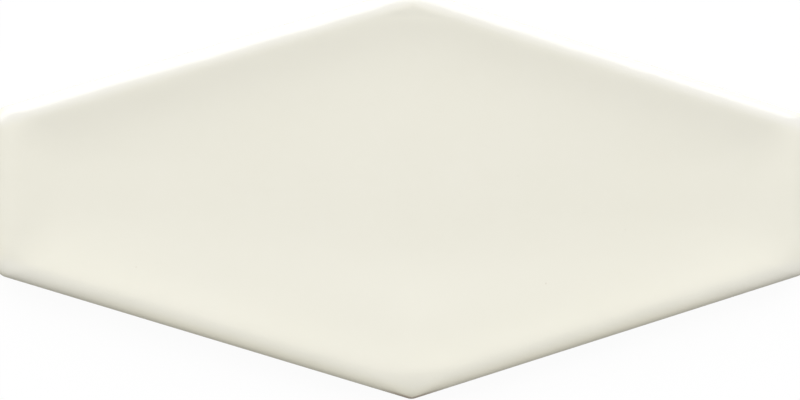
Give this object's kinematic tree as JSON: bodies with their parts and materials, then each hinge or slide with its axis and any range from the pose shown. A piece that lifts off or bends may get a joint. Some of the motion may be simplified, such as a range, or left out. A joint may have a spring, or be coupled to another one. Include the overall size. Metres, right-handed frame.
{
  "type": "wall tile",
  "caption": "Elongated hexagonal glazed ceramic wall tile, laid flat, with a softly rolled edge, a shallow dished face and a keyed back for adhesive.",
  "frame": {"origin": "centre of the back, on the plane that the ribs of the back lie in", "axes": "+X along the length, towards one short end side; +Y towards one of the two points; +Z out of the glazed face"},
  "size_m": [0.2, 0.0996, 0.0085],
  "materials": {
    "glaze": "gloss"
  },
  "bodies": {
    "root": {"wall_tile": "glaze"}
  },
  "joints": []
}
